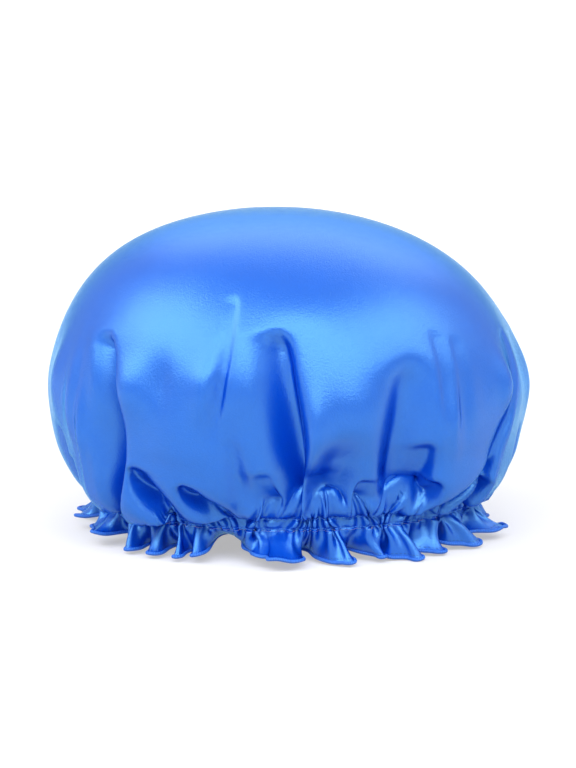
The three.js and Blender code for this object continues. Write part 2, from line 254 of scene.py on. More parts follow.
def creased(s, angle, ease=1.0, depth_share=1.0):
    """The crown with its creases, and how deep each point has sunk. The plain outline sinks by the sum of
    d(s) / (1 + |u / a|^n), u the arc to a crease over its width, with a small and n large on the crease's
    sharp side. A crease starts round and quickly at its upper end and is narrow at the band, and its
    valley slides under its sharp edge. One that doesn't slide is soft all round. Eased creases are wider
    by that factor and don't slide, and may be shallower."""
    point, normal, aside = plain(s, angle)
    x, y, _, _ = outline(s)
    s, angle = np.broadcast_arrays(np.asarray(s, float), np.asarray(angle, float))
    turns = angle / TURN
    radius = np.broadcast_to((x + y) / 2, s.shape)
    sink = np.zeros(s.shape)
    slide = np.zeros(s.shape)
    for top, low, bow, depth, start, stop, width, under in CREASES:
        run = (s - start) / (S_BAND - start)
        along = np.clip(run, 0, 1)
        place = top + (low - top) * smooth(run * PLACED_RUN) + 4 * BOW_UNIT * bow * along * (1 - along)
        away = (turns - place + 0.5) % 1 - 0.5
        arch = np.clip((s - start) / (ROUND_END * width), 0.003, 1)
        neck = NECK + (1 - NECK) * smooth((1 - run) * NECK_START)
        u = away * TURN * radius / (width * np.sqrt(arch * (2 - arch)) * neck * ease)
        sharp, soft = (1 / (1 + (np.abs(u) / half) ** power) for half, power in (SHARP_SIDE, SOFT_SIDE))
        valley = np.where(u * np.sign(under) > 0, sharp, soft)
        shallow = SHALLOW + SHALLOW_GROWTH * depth
        begin = QUICK_START if under else SLOW_START
        full = smooth((s - start) / (begin * width)) * (shallow + (1 - shallow) * smooth(run * FULL_RUN))
        full = full * smooth((stop - s) / FADE) * (1 - smooth((s - S_BAND + BAND_FADE) / BAND_FADE))
        valley = valley * depth * full * depth_share
        sink += valley
        slide += valley * under * (ease == 1)
    sink = DEEPEST * np.tanh(sink / DEEPEST)
    pouch = smooth((s - POUCH_START) / POUCH_RISE) * (1 - smooth((s - POUCH_END) / (S_BAND - POUCH_END)))
    hang = closed_interp(turns % 1, POUCHES[:, 0], POUCHES[:, 1], 0)
    swell = np.zeros(s.shape)
    for place, middle, size, half_width, half_length in SWELLS:
        away = ((turns - place + 0.5) % 1 - 0.5) * TURN * radius
        swell += size * np.exp(-((away / half_width) ** 2) - ((s - middle) / half_length) ** 2)
    out = (hang * pouch + swell) * (1 - FOLD_HOLD * np.tanh(sink / FOLD_SINK)) - sink
    return point + normal * out[..., None] + aside * slide[..., None], sink


def closed_interp(x, places, values, period):
    """Values between places round a turn. They grow by period each turn."""
    p = np.concatenate([places - 1, places, places + 1])
    v = np.concatenate([values - period, values, values + period])
    return np.interp(x, p, v)


def blurred(values, width):
    """A closed row of values smoothed by a Gaussian of a width in turns."""
    f = np.fft.rfftfreq(len(values), 1 / len(values))
    return np.fft.irfft(np.fft.rfft(values) * np.exp(-0.5 * (TURN * f * width) ** 2), len(values))


# The sheet's simulation
SHEET_RINGS = 80
SLACK_MOST, PRESSURE, SAG, FRAMES = 0.004, 3.0, 0.1, 10
MOST_MOVE = 4.0
TOP_HOLD, TOP_HOLD_END = 0.12, 90  # how firmly the top is held, and the cloth distance of its end
FOLD_HOLDING = 0.5  # how firmly folds are held
HELD_FROM, HELD_BY = 1.5, 7.5  # the depths in mm at which that starts and is full
SLACK_START, SLACK_RISE = 120, 90  # the cloth distance where slack starts, and the stretch to its full size
EASE, SHALLOWER = 1.8, 0.6  # of the creases that the sheet starts with
DRIFT_COLUMNS = 720
WAVES_KEPT = 20.0  # round the bonnet, those over 40 mm long
PASSES = 6  # of smoothing from ring to ring


def sheet_mesh(last):
    """A round sheet of triangles with 6k vertices in ring k: ring numbers, angles and triangles."""
    ring = np.concatenate([[0], np.repeat(np.arange(1, last + 1), 6 * np.arange(1, last + 1))])
    start = np.concatenate([[0, 1], 1 + np.cumsum(6 * np.arange(1, last + 1))])
    angle = (np.arange(len(ring)) - start[ring]) / np.maximum(6 * ring, 1) * TURN
    q = np.arange(6)[:, None]
    faces = [np.stack([1 + np.arange(6), 1 + (np.arange(6) + 1) % 6, np.zeros(6, int)], 1)]
    for k in range(1, last):
        i = np.arange(k + 1)[None]

        def outer(i):
            return start[k + 1] + (q * (k + 1) + i) % (6 * (k + 1))

        def inner(i):
            return start[k] + (q * k + i) % (6 * k)

        faces.append(np.stack([outer(i), outer(i + 1), inner(i)], -1).reshape(-1, 3))
        i = i[:, :-1]
        faces.append(np.stack([inner(i), outer(i + 1), inner(i + 1)], -1).reshape(-1, 3))
    return ring, start, angle, np.concatenate(faces)


def rings_of(points, start, last, columns):
    """Each ring of the sheet's points as a smooth closed curve through them, a Fourier series, at even
    columns."""
    out = np.empty((last + 1, columns, 3))
    out[0] = points[0]
    for k in range(1, last + 1):
        wave = np.fft.rfft(points[start[k] : start[k + 1]], axis=0)
        half = columns // 2 + 1
        full = np.zeros((half, 3), complex)
        full[: min(len(wave), half)] = wave[: min(len(wave), half)]
        out[k] = np.fft.irfft(full, columns, axis=0) * (columns / (6 * k))
    return out


def across(rings, step, s):
    """Points between the rings at cloth distances s, by Catmull-Rom cubics."""
    t = np.asarray(s) / step
    i = np.clip(np.floor(t).astype(int), 0, len(rings) - 2)
    w = (t - i)[:, None, None]
    a, b, c, d = (rings[np.clip(i + k, 0, len(rings) - 1)] for k in (-1, 0, 1, 2))
    return b + 0.5 * w * (c - a + w * (2 * a - 5 * b + 4 * c - d + w * (3 * (b - c) + d - a)))


def settled(points, faces, weight, slack):
    """The points after a short cloth simulation with air pressure inside, ten times full size. Weight holds
    a point to its place, 1 firmly, and slack is the share by which the cloth there is longer than the
    start."""
    size = 10 * MM
    mesh = bpy.data.meshes.new("sheet")
    mesh.from_pydata((points * size).tolist(), [], faces.tolist())
    cloth = bpy.data.objects.new("sheet", mesh)
    scene.collection.objects.link(cloth)
    for name, values in (("held", weight), ("slack", slack)):
        group = cloth.vertex_groups.new(name=name)
        for value in np.unique(np.round(values, 2)):
            group.add(np.nonzero(np.round(values, 2) == value)[0].tolist(), float(value), "REPLACE")
    modifier = cloth.modifiers.new("cloth", "CLOTH")
    fabric = modifier.settings
    fabric.quality = 5
    fabric.mass = 0.15
    fabric.air_damping = 2
    fabric.tension_stiffness = fabric.compression_stiffness = fabric.shear_stiffness = 20
    fabric.tension_damping = fabric.compression_damping = fabric.shear_damping = 5
    fabric.bending_model = "ANGULAR"
    fabric.bending_stiffness = 0.15
    fabric.bending_damping = 0.5
    fabric.vertex_group_mass = "held"
    fabric.pin_stiffness = 1
    fabric.vertex_group_shrink = "slack"
    fabric.shrink_min, fabric.shrink_max = 0, -SLACK_MOST
    fabric.use_pressure = True
    fabric.uniform_pressure_force = PRESSURE
    fabric.effector_weights.gravity = SAG
    contact = modifier.collision_settings
    contact.use_collision = False
    contact.use_self_collision = True
    contact.self_distance_min = 0.012
    contact.collision_quality = 2
    modifier.point_cache.frame_start, modifier.point_cache.frame_end = 1, FRAMES
    for number in range(1, FRAMES + 1):
        scene.frame_set(number)
    shape = cloth.evaluated_get(bpy.context.evaluated_depsgraph_get()).data
    moved = np.empty(len(points) * 3, np.float32)
    shape.vertices.foreach_get("co", moved)
    scene.frame_set(1)
    bpy.data.objects.remove(cloth)
    bpy.data.meshes.remove(mesh)
    return moved.reshape(-1, 3) / size


def made_drift():
    """How far the simulation moves each ring of the sheet, from the top to the channel, and the rings'
    step. The sheet starts with gentle creases, and only its long waves are kept."""
    step = S_BAND / SHEET_RINGS
    ring, start, angle, faces = sheet_mesh(SHEET_RINGS)
    s = ring * step
    points, sink = creased(s, angle, EASE, SHALLOWER)
    move = np.zeros(points.shape)
    top = TOP_HOLD * (1 - smooth((s - TOP_HOLD_END) / TOP_HOLD_END))
    fold = FOLD_HOLDING * smooth((sink - HELD_FROM) / (HELD_BY - HELD_FROM))
    held = np.where(ring >= SHEET_RINGS - 1, 1.0, top + fold)
    move = settled(points, faces, held, smooth((s - SLACK_START) / SLACK_RISE)) - points
    size = np.linalg.norm(move, axis=1, keepdims=True)
    move *= MOST_MOVE * np.tanh(size / MOST_MOVE) / np.maximum(size, 1e-9)
    wave = np.fft.rfft(rings_of(move, start, SHEET_RINGS, DRIFT_COLUMNS), axis=1)
    wave *= np.exp(-((np.arange(wave.shape[1]) / WAVES_KEPT) ** 2))[None, :, None]
    rows = np.fft.irfft(wave, DRIFT_COLUMNS, axis=1)
    for _ in range(PASSES):
        rows[1:-1] = 0.25 * rows[:-2] + 0.5 * rows[1:-1] + 0.25 * rows[2:]
    return rows, step


# Gathers and flutes
PLEATS = 104
FINE = 11520  # columns in which gathers are worked out
# Each flute of the frill: azimuths of its inner and outer end as shares of a turn from +X, its swell, how
# sharply it folds back, and in mm how far the hem rises at the inner and outer end
FLUTES = np.array([
    [0.000, 0.018, 0.65, 0.40, 6, 3],
    [0.036, 0.056, 0.85, 0.50, 5, 2],
    [0.074, 0.094, 0.90, 0.35, 9, 3],
    [0.112, 0.136, 1.05, 0.45, 4, 1],
    [0.154, 0.178, 1.10, 0.30, 5, 3],
    [0.196, 0.218, 0.90, 0.50, 9, 2],
    [0.238, 0.262, 1.05, 0.40, 3, 0],
    [0.280, 0.302, 1.00, 0.35, 5, 2],
    [0.320, 0.342, 1.10, 0.50, 9, 1],
    [0.360, 0.380, 0.90, 0.30, 4, 3],
    [0.400, 0.424, 1.05, 0.45, 6, 4],
    [0.444, 0.466, 0.85, 0.40, 6, 5],
    [0.484, 0.500, 0.60, 0.45, 8, 7],
    [0.526, 0.570, 0.55, 0.30, 15, 8],
    [0.588, 0.610, 1.05, 0.50, 9, 1],
    [0.619, 0.632, 0.95, 0.40, 6, 2],
    [0.645, 0.660, 1.00, 0.45, 5, 2],
    [0.667, 0.676, 0.90, 0.30, 5, 4],
    [0.690, 0.750, 0.80, 0.35, 12, 5],
    [0.766, 0.795, 0.90, 0.45, 4, 1],
    [0.803, 0.818, 1.00, 0.55, 7, 2.5],
    [0.828, 0.848, 1.20, 0.70, 5, -1],
    [0.864, 0.876, 0.85, 0.30, 6, 0],
    [0.891, 0.908, 1.20, 0.65, 9, 0],
    [0.936, 0.954, 0.55, 0.45, 8, 5],
])
PLEAT_SWING, FLUTE_SWING = 1.45, 1.65  # of the cloth's direction, in radians
PLEAT_RISE, FRILL_RISE = 2.3, 3.8  # of the pleats' middle over the flat channel, and on to the hem
STITCH_INSET = 1.1  # from the channel's edges to its rows of stitches
ELASTIC_GAP, GAP_GROWTH = 1.1, 1.5  # from the elastic's ring to the satin, and more for each mm down
PLEAT_END = 0.93  # how much of the pleats is gone at the hem
RIPPLE = 0.2
FLUTE_START, FLUTE_RISE, FLUTE_POWER = 0.3, 2, 0.7  # how the flutes grow with the share of the frill's depth
SWING_BLUR, TURN_BLUR = 0.03, 0.02  # in turns, of what is taken off so that the ring keeps its middle line
FOLD_PRESS, PRESS_REACH = 0.35, 1.0  # the share of a pleat that stitches press flat, and how far up and down
HALF_TURN_START, HALF_TURN_END = -0.057, 0.557  # of a flute's wave, its inner and outer end in turns
INNER_START = 0.36  # the same start in radians
fine = np.arange(FINE) / FINE


def waves(parts):
    """The sum of waves round the bonnet, from rows of (number of waves, size, start in radians)."""
    return sum(size * np.sin(TURN * number * fine + start) for number, size, start in parts)


def round_table(places, values, width, period=0):
    """Values between places round the bonnet, smoothed, at the fine columns."""
    wave = closed_interp(fine, places, values, period) - period * fine
    return blurred(wave, width) + period * fine


# The pleats' run round the bonnet, their size, how far they lean over the channel in pleats, and their
# reach above it in mm
pleat_phase = TURN * PLEATS * fine + waves([(5, 1.6, 0), (13, 1.3, 1), (31, 0.9, 2)])
pleat_size = 1 + waves([(17, 0.3, 0.7), (29, 0.25, 2), (47, 0.2, 1)])
pleat_lean = waves([(9, 0.5, 0.3), (23, 0.4, 1.9), (37, 0.3, 0.2)])
pleat_reach = 15 + waves([(14, 6, 0.5), (33, 5, 1.3)])
ripple = np.sin(TURN * 57 * fine + 2.0 * np.sin(TURN * 7 * fine)) * (1 + 0.5 * np.sin(TURN * 11 * fine + 1))

number = np.arange(len(FLUTES))
flute_places = FLUTES[:, :2].ravel()
flute_ends = np.stack([number + HALF_TURN_START, number + HALF_TURN_END], 1).ravel()
flute_phase = TURN * round_table(flute_places, flute_ends, 0.004, len(FLUTES))
flute_size = round_table(FLUTES[:, 1], FLUTES[:, 2], 0.006)
flute_fold = round_table(FLUTES[:, 1], FLUTES[:, 3], 0.006)
hem_rise = round_table(flute_places, FLUTES[:, 4:].ravel(), 0.004)


def gathered(down):
    """A ring of the channel and frill as x and y at the fine columns, and the cloth's length round it. The
    cloth's direction swings by p sin(pleats) + f (sin(flutes) + k cos(2 flutes)), so flutes swell out
    slowly and fold back under themselves, and they take over from the pleats downwards. The cloth stays
    outside the elastic."""
    share = (down / FRILL) * smooth(FLUTE_START + FLUTE_RISE * down / FRILL)
    bend = flute_size * (np.sin(flute_phase) + flute_fold * np.cos(2 * flute_phase)) + RIPPLE * ripple
    pleat = pleat_size * np.sin(pleat_phase)
    psi = PLEAT_SWING * (1 - PLEAT_END * share) * pleat + FLUTE_SWING * share**FLUTE_POWER * bend
    flare = PLEAT_RISE + FRILL_RISE * down / FRILL
    x, y = BAND_WIDE / 2 + BAND_OFFSET + flare, BAND_DEEP / 2 + BAND_OFFSET + flare
    t = np.linspace(0, TURN, 4097)
    arc = np.concatenate([[0], np.cumsum(np.hypot(np.diff(x * np.cos(t)), np.diff(y * np.sin(t))))])
    step = arc[-1] / np.cos(psi).sum()
    ahead = np.cumsum(np.cos(psi)) * step
    swing = np.cumsum(np.sin(psi)) * step
    swing -= np.linspace(0, swing[-1], FINE)
    swing -= blurred(swing, SWING_BLUR)
    swing = np.maximum(swing, ELASTIC_GAP - BAND_OFFSET - flare - GAP_GROWTH * down)
    ellipse = np.interp(ahead, arc, t)
    ellipse -= blurred(ellipse - TURN * fine, TURN_BLUR)
    size = np.hypot(y * np.cos(ellipse), x * np.sin(ellipse))
    out = np.stack([y * np.cos(ellipse) / size, x * np.sin(ellipse) / size], -1)
    return np.stack([x * np.cos(ellipse), y * np.sin(ellipse)], -1) + out * swing[:, None], step * FINE


def held_flat(s):
    """How far the stitches at both of the channel's edges press its pleats flat."""
    upper = (s - S_BAND - STITCH_INSET) / PRESS_REACH
    lower = (s - S_FRILL + STITCH_INSET) / PRESS_REACH
    return 1 - FOLD_PRESS * (np.exp(-(upper**2)) + np.exp(-(lower**2)))


channel_line = plain(S_BAND, TURN * fine)[0][:, :2]
pleats = gathered(0.0)[0] - channel_line


def pleats_at(s, turns):
    """How far the pleats move the cloth at cloth distances s and azimuths in turns. They fade out up the
    crown."""
    reach = np.interp(turns, fine, pleat_reach)
    fade = smooth((s - S_BAND + reach) / reach) * held_flat(s)
    lean = np.interp(turns, fine, pleat_lean) * (S_FRILL - s) / CHANNEL / PLEATS
    at = (turns + lean) % 1
    aside, out = (np.interp(at, fine, row, period=1) for row in pleats.T)
    return np.stack([aside * fade, out * fade, 0 * fade], -1)


HEM_RADIUS = 1.05
RISE_POWER, INNER_POWER = 1.4, 1.5  # of the hem's rise down the frill, and of how narrow an inner end is
INWARDS = 2.0  # mm at the hem, besides half of what a rise sets free
STEEPEST = 0.45  # the least share of a step down the cloth that it drops


def frill_rings(downs):
    """Rings of the frill, and the cloth's length round each. The flutes' inner ends tilt inwards as the hem
    rises. The cloth drops less where it swings more, and the lowest of the hem stands on the ground."""
    rows, lengths = [], []
    height = np.zeros(FINE)
    for i, down in enumerate(downs):
        xy, length = gathered(down)
        inner = (0.5 + 0.5 * np.cos(flute_phase + INNER_START)) ** INNER_POWER
        rise = hem_rise * (down / FRILL) ** RISE_POWER
        tilt = 0.5 * np.sqrt(np.maximum(down**2 - (down - rise) ** 2, 0)) + INWARDS * down / FRILL
        xy = xy * (1 - inner * tilt / np.hypot(*xy.T))[:, None]
        if i:
            gap = down - downs[i - 1]
            shift = np.hypot(*(xy - last).T)
            height = height - np.sqrt(np.maximum(gap**2 - (0.5 * shift) ** 2, (STEEPEST * gap) ** 2))
        mean = np.stack([blurred(part, 0.012) for part in xy.T], -1)
        flat = mean + (xy - mean) * held_flat(S_FRILL + down)
        rows.append(np.concatenate([flat, (height + rise)[:, None]], 1))
        lengths.append(length)
        last = xy
    rows = np.stack(rows)
    rows[:, :, 2] *= (channel_low - HEM_RADIUS) / -rows[:, :, 2].min()
    return rows, np.array(lengths)


# Meshes
def mesh_piece(name, points, faces, uv=None):
    """A smooth mesh from points in millimetres above the channel's lower edge."""
    mesh = bpy.data.meshes.new(name)
    place = (np.asarray(points, float) + [0, 0, channel_low]) * MM
    mesh.from_pydata(place.tolist(), [], faces if isinstance(faces, list) else faces.tolist())
    mesh.update()
    mesh.polygons.foreach_set("use_smooth", np.ones(len(mesh.polygons), bool))
    if uv is not None:
        layer = mesh.uv_layers.new(name="cloth")
        corner = np.empty(len(mesh.loops), np.int32)
        mesh.loops.foreach_get("vertex_index", corner)
        layer.data.foreach_set("uv", np.asarray(uv, np.float32)[corner].ravel())
    piece = bpy.data.objects.new(name, mesh)
    scene.collection.objects.link(piece)
    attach(piece, "root")
    return piece


def quad_rows(rows, closed=False):
    """Quads of rows of points, facing out when the rows run down, and their points. Closed rows join their
    last column to their first."""
    count, columns = rows.shape[:2]
    i = np.arange(columns if closed else columns - 1)
    j = (i + 1) % columns
    above = columns * np.arange(count - 1)[:, None]
    below = above + columns
    faces = np.stack([above + i, below + i, below + j, above + j], -1)
    return rows.reshape(-1, 3), faces.reshape(-1, 4)


COLUMNS = 1280  # round the finest rows
CROWD_WIDTH, CROWD_LEAST = 0.03, 0.25  # turns of the average nearby, and the least share of it that counts
CROWD_END, CROWD_FADE = 3, 14  # how far above the band the columns are even again, and over what stretch


def crowded(s):
    """Azimuths of the columns at cloth distances s. They crowd where the creases fold the cloth, by arc
    length over its own average nearby, and are even again at the band."""
    angle = TURN * np.arange(2 * COLUMNS) / (2 * COLUMNS)
    even = TURN * np.arange(COLUMNS) / COLUMNS
    points = creased(s[:, None], angle)[0]
    length = np.linalg.norm(np.roll(points, -1, 1) - points, axis=2)
    rows = []
    for row, part in zip(length, smooth((S_BAND - CROWD_END - s) / CROWD_FADE)):
        share = np.maximum(row / blurred(row, CROWD_WIDTH), CROWD_LEAST)
        ahead = np.concatenate([[0], np.cumsum(share)])
        rows.append(even + part * (np.interp(even / TURN, ahead / ahead[-1], np.append(angle, TURN)) - even))
    return np.stack(rows)


def drifted(drift, step, s, angle):
    """The drift at cloth distances s and azimuths angle."""
    rows = across(drift, step, s)
    t = angle / TURN % 1 * rows.shape[1]
    i = np.floor(t).astype(int) % rows.shape[1]
    w = (t - np.floor(t))[..., None]
    k = np.arange(len(s))[:, None]
    return rows[k, i] * (1 - w) + rows[k, (i + 1) % rows.shape[1]] * w


def crown_piece(name, drift, step, inset, ease, zones, end):
    """The crown's cloth, set in by an inset, as rows of quads whose columns double on the way down, with a
    fan at the top. Zones are (first cloth distance, last, rows, columns, how much closer the rows come
    downwards)."""
    even = np.arange(COLUMNS) / COLUMNS

    def rows_at(s):
        held = np.minimum(s, S_BAND)
        angle = crowded(held) if ease == 1 else np.broadcast_to(TURN * even, (len(s), COLUMNS))
        rows = creased(held[:, None], angle, ease)[0] + drifted(drift, step, held, angle)
        rows[:, :, 2] -= np.clip(s - S_BAND, 0, None)[:, None]
        return rows + pleats_at(*np.broadcast_arrays(s[:, None], even))

    points, faces, cloth = [], [], []
    count = 0
    last = None
    for top, low, steps, columns, closer in zones:
        first = 1 if top == 0 else 0
        t = np.arange(first, steps + (1 if low == end else 0)) / steps
        s = low - (low - top) * (1 - t) ** closer
        rows = rows_at(s)
        if inset:
            down = rows_at(s + NEAR) - rows_at(s - NEAR)
            around = np.roll(rows, -3, 1) - np.roll(rows, 3, 1)
            out = np.cross(down, around)
            out /= np.linalg.norm(out, axis=-1, keepdims=True)
            rows = rows - out * inset
        rows = rows[:, :: COLUMNS // columns]
        turn = TURN * np.arange(columns) / columns
        if last is None:
            points.append(drift[0, :1] + [LEAN, 0, RISE - inset])
            cloth.append([[0, 0]])
            count = 1
            i = np.arange(columns)
            faces += np.stack([np.zeros(columns, int), count + i, count + (i + 1) % columns], 1).tolist()
        else:
            i = np.arange(len(last))
            above, above_next = last, last[(i + 1) % len(last)]
            below = [count + (2 * i + k) % columns for k in range(3)]
            faces += np.stack([above, below[0], below[1], below[2], above_next], 1).tolist()
        block, quads = quad_rows(rows, closed=True)
        points.append(block)
        cloth.append((s[:, None, None] * MM * np.stack([np.cos(turn), np.sin(turn)], 1)).reshape(-1, 2))
        faces += (quads + count).tolist()
        count += len(block)
        last = count - columns + np.arange(columns)
    return mesh_piece(name, np.concatenate(points), faces, np.concatenate(cloth))


drift, ring_step = made_drift()
CROWN_ZONES = [
    (0.0, 26.0, 6, 80, 1),
    (26.0, 60.0, 8, 160, 1),
    (60.0, 110.0, 12, 320, 1),
    (110.0, 196.0, 32, 640, 1),
    (196.0, S_FRILL, 52, 1280, 1.5),
]
crown = crown_piece("satin_crown", drift, ring_step, 0, 1.0, CROWN_ZONES, S_FRILL)
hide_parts("crown_satin")

LINING_END, LINING_INSET, LINING_EASE = S_BAND - 2, 2.6, 2.0
LINING_ZONES = [
    (0.0, 26.0, 4, 80, 1),
    (26.0, 96.0, 12, 160, 1),
    (96.0, 196.0, 28, 320, 1),
    (196.0, LINING_END, 34, 640, 1),
]
lining = crown_piece("lining_cloth", drift, ring_step, LINING_INSET, LINING_EASE, LINING_ZONES, LINING_END)
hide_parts("crown_lining")

FRILL_ROWS, FRILL_CLOSER, FRILL_SKIP, HEM_SKIP = 17, 1.2, 8, 4
frill_downs = FRILL * np.linspace(0, 1, FRILL_ROWS) ** FRILL_CLOSER
frill_rows, frill_lengths = frill_rings(frill_downs)


def strip_cloth(lengths, downs, columns):
    """The cloth's own places in metres, along and down, of rows of a closed strip. The seam lies at +X."""
    along = np.outer(lengths, np.arange(columns + 1) / columns)
    return np.stack([along, np.broadcast_to(np.asarray(downs)[:, None], along.shape)], -1).reshape(-1, 2) * MM


def seamed(rows):
    """Rows of a closed strip with their first column again at the end, so that the cloth's places run on."""
    return np.concatenate([rows, rows[:, :1]], 1)


frill_points, frill_faces = quad_rows(seamed(frill_rows[:, ::FRILL_SKIP]))
frill_cloth = strip_cloth(np.full(FRILL_ROWS, frill_lengths[-1]), frill_downs, FINE // FRILL_SKIP)
frill = mesh_piece("satin_frill", frill_points, frill_faces, frill_cloth)
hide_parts("frill")


def tube_rows(path, radius, sides):
    """Rows of points of a round tube along a closed path."""
    ahead = np.roll(path, -1, 0) - np.roll(path, 1, 0)
    ahead /= np.linalg.norm(ahead, axis=1, keepdims=True)
    side = np.cross(ahead, [0, 0, 1.0])
    side /= np.linalg.norm(side, axis=1, keepdims=True)
    up = np.cross(side, ahead)
    a = -np.arange(sides + 1) / sides * TURN
    return path[None] + radius * (np.cos(a)[:, None, None] * side + np.sin(a)[:, None, None] * up)


hem_path = frill_rows[-1][::HEM_SKIP]
hem_length = np.linalg.norm(np.roll(hem_path, -1, 0) - hem_path, axis=1).sum()
hem_girth = TURN * HEM_RADIUS
HEM_SIDES = 8
hem_points, hem_faces = quad_rows(seamed(tube_rows(hem_path, HEM_RADIUS, HEM_SIDES)))
hem_downs = hem_girth * np.arange(HEM_SIDES + 1) / HEM_SIDES
hem_cloth = strip_cloth(np.full(HEM_SIDES + 1, hem_length), hem_downs, len(hem_path))
hem = mesh_piece("hem_overlock_thread", hem_points, hem_faces, hem_cloth)
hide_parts("hem_overlock")

# Channel stitches
STITCH_PITCH, STITCH_LENGTH, THREAD = 2.7, 2.1, 0.24
STITCH_POINTS, STITCH_SIDES = 6, 6
THREAD_END = 0.45  # its thickness where it dips into the cloth
ARCH, DIP = 0.35, 0.1
THREAD_NEAR = 0.2  # the step to either side that gives the thread's direction


def stitch_row(name, s):
    """Separate stitches along the pleated channel at a cloth distance. Each is a thread that arches over
    the cloth by sin and dips into it at both ends."""
    xy = channel_line + pleats_at(s, fine)[:, :2]
    length = np.concatenate([[0], np.cumsum(np.linalg.norm(np.roll(xy, -1, 0) - xy, axis=1))])
    count = int(length[-1] / STITCH_PITCH)
    t = np.linspace(0, 1, STITCH_POINTS)
    at = (np.arange(count)[:, None] + t * STITCH_LENGTH / STITCH_PITCH) * length[-1] / count

    def spot(distance):
        place = np.interp(distance % length[-1], length, np.arange(FINE + 1)) / FINE
        return np.stack([np.interp(place, fine, row, period=1) for row in xy.T], -1)

    ahead = spot(at + THREAD_NEAR) - spot(at - THREAD_NEAR)
    ahead /= np.linalg.norm(ahead, axis=-1, keepdims=True)
    out = np.stack([ahead[..., 1], -ahead[..., 0]], -1)
    bulge = np.sin(math.pi * t)
    thick = (THREAD * (THREAD_END + (1 - THREAD_END) * bulge**0.5))[:, None]
    middle = spot(at) + out * (ARCH * bulge - DIP)[:, None]
    a = np.arange(STITCH_SIDES) / STITCH_SIDES * TURN
    rings = np.empty((count, STITCH_POINTS, STITCH_SIDES, 3))
    rings[..., :2] = middle[:, :, None] + out[:, :, None] * (thick * np.cos(a))[None, :, :, None]
    rings[..., 2] = CHANNEL - (s - S_BAND) + thick * np.sin(a)
    r, k = np.meshgrid(STITCH_SIDES * np.arange(STITCH_POINTS - 1), np.arange(STITCH_SIDES), indexing="ij")
    beside = (k + 1) % STITCH_SIDES
    quads = np.stack([r + k, r + beside, r + STITCH_SIDES + beside, r + STITCH_SIDES + k], -1).reshape(-1, 4)
    starts = STITCH_POINTS * STITCH_SIDES * np.arange(count)[:, None]
    first = np.arange(STITCH_SIDES)
    last = STITCH_SIDES * (STITCH_POINTS - 1) + first
    faces = (quads + starts[:, None]).reshape(-1, 4).tolist()
    faces += (first[::-1] + starts).tolist() + (last + starts).tolist()
    piece = mesh_piece(name, rings.reshape(-1, 3), faces)
    return piece


upper_stitches = stitch_row("upper_channel_stitches", S_BAND + STITCH_INSET)
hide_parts("channel_stitch_upper")
lower_stitches = stitch_row("lower_channel_stitches", S_FRILL - STITCH_INSET)
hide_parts("channel_stitch_lower")

# Channel tape and elastic
TAPE_LOW, TAPE_HIGH, TAPE_EDGE, TAPE_BOW = 0.3, 7.7, 0.5, 3.3
BOW_STRETCH = 1.8  # from an edge to where the tape has bowed in fully
TAPE_PLEATS, TAPE_FULL = 0.33, 1.15  # its share of the pleats, and its length for each length of the opening
TAPE_ROWS, TAPE_COLUMNS = 15, 1440
band_length = math.pi * (BAND_WIDE + BAND_DEEP) / 2
tape_turns = np.arange(TAPE_COLUMNS) / TAPE_COLUMNS
tape_heights = np.linspace(TAPE_HIGH, TAPE_LOW, TAPE_ROWS)


def tape_row(height):
    """The tape's ring at a height: its edges lie against the satin, and it bows in round the elastic and
    takes up a third of the pleats."""
    bow = TAPE_BOW * smooth(min(height - TAPE_LOW, TAPE_HIGH - height) / BOW_STRETCH)
    x, y = BAND_WIDE / 2 + TAPE_EDGE - bow, BAND_DEEP / 2 + TAPE_EDGE - bow
    angle = TURN * tape_turns
    ring = np.stack([x * np.cos(angle), y * np.sin(angle), np.full(angle.shape, height)], -1)
    ring[:, :2] += TAPE_PLEATS * np.stack([np.interp(tape_turns, fine, row) for row in pleats.T], -1)
    ring[:, :2] -= TAPE_PLEATS * PLEAT_RISE * np.stack([np.cos(angle), np.sin(angle)], -1)
    return ring


tape_points, tape_faces = quad_rows(seamed(np.stack([tape_row(height) for height in tape_heights])))
tape_length = band_length * TAPE_FULL
tape_cloth = strip_cloth(np.full(TAPE_ROWS, tape_length), TAPE_HIGH - tape_heights, TAPE_COLUMNS)
tape = mesh_piece("channel_tape_strip", tape_points, tape_faces, tape_cloth)
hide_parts("channel_tape")

ELASTIC_WIDE, ELASTIC_THICK = 6.0, 1.0
RIBS, RIB_DEPTH, EDGE_POWER = 6, 0.14, 16
LAP, LAP_STEP, LAP_IN = 12.0, 14.0, 1.3  # its length, the stretch over which it steps in, and how far
LAP_TURN = 0.25  # where the lap's middle lies, at the back


def elastic_rows(columns=1200, across=25):
    """The elastic's closed section along its strip, how far along it each column is, and the section's
    heights. Ribs thicken it by a cosine, and its last stretch steps in and laps its start at the back."""
    run = np.linspace(0, 1 + LAP / band_length, columns)
    angle = TURN * (LAP_TURN - LAP / band_length / 2 + run)
    inward = LAP_IN * smooth(1 - (1 - run) * band_length / LAP_STEP)
    v = np.linspace(0, 1, across)
    ribs = 1 - RIB_DEPTH + RIB_DEPTH * np.cos(TURN * RIBS * (v - 0.5 / RIBS))
    half = 0.5 * ELASTIC_THICK * ribs * (1 - (2 * v - 1) ** EDGE_POWER) ** 0.5
    height = ELASTIC_LIFT + ELASTIC_WIDE * v
    offset = np.concatenate([half[::-1], -half[1:-1]])
    z = np.concatenate([height[::-1], height[1:-1]])
    offset, z = np.append(offset, offset[0]), np.append(z, z[0])
    reach = offset[:, None] - inward
    x = (BAND_WIDE / 2 + reach) * np.cos(angle)
    y = (BAND_DEEP / 2 + reach) * np.sin(angle)
    return np.stack([x, y, np.broadcast_to(z[:, None], x.shape)], -1), run * band_length, z


